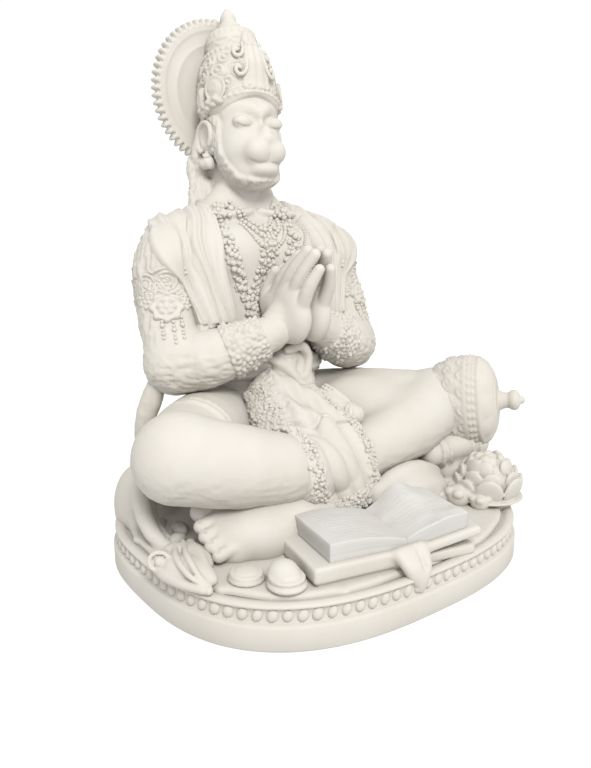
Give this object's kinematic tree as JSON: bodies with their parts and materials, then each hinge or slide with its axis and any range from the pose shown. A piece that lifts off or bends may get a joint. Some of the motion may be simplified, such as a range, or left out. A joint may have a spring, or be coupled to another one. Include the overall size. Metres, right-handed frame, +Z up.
{
  "type": "hanuman figure",
  "caption": "Seated figure with joined hands, crown and halo on a beaded oval plinth, with mace, open book and offerings, cast in one piece.",
  "frame": {"origin": "middle of the plinth's underside", "axes": "+Z up, the figure faces -Y, and its own left side is towards +X"},
  "size_m": [0.1455, 0.1211, 0.1901],
  "materials": {
    "cast_stone": "matte off-white cast stone resin"
  },
  "bodies": {
    "root": {"hanuman_figure": "cast_stone"}
  },
  "joints": []
}
